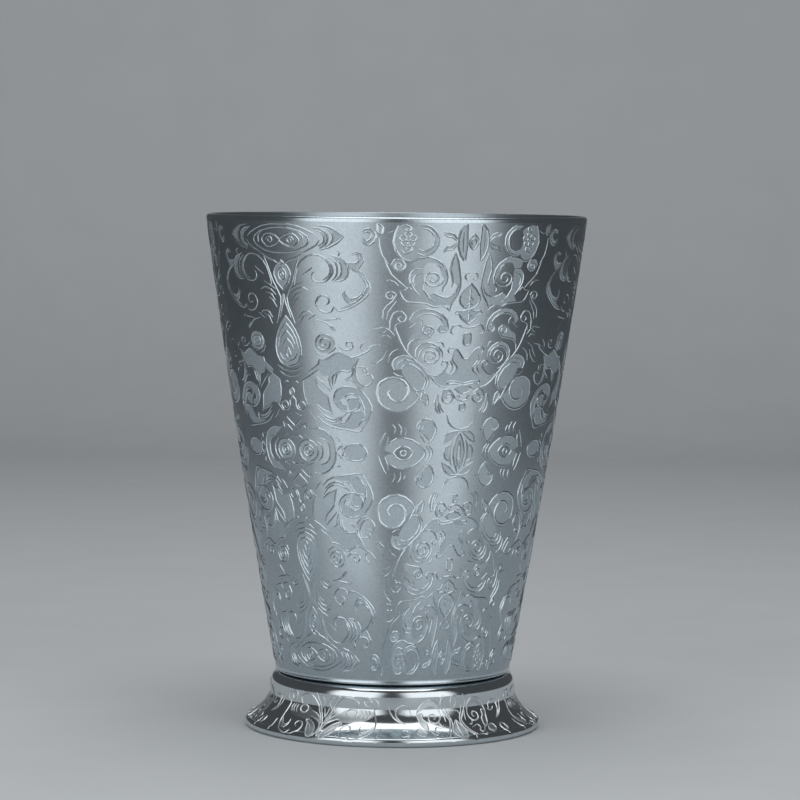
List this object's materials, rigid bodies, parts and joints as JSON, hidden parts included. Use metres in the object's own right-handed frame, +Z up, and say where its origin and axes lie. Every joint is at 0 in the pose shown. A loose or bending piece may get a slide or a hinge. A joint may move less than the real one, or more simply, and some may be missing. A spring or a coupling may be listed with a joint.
{
  "type": "footed cocktail cup",
  "caption": "Tapered steel cocktail cup with a plain rim, scrollwork etched all over its satin wall and a polished, flared hollow foot; holds an iced drink and stands on the foot's hem.",
  "frame": {"origin": "where the cup's axis meets the table that the foot stands on", "axes": "+Z up along the cup's axis, from the foot to the rim; -Y is the side seen in the picture"},
  "size_m": [0.084, 0.084, 0.1133],
  "materials": {
    "satin_steel": "satin stainless steel, the outer wall etched with matte scrollwork",
    "polished_steel": "mirror-polished stainless steel engraved with scrolls",
    "silver_braze": "dull silver brazing metal, hidden in the joint"
  },
  "bodies": {
    "root": {"cup_body": "satin_steel", "foot": "polished_steel", "braze_ring": "silver_braze"}
  },
  "joints": []
}
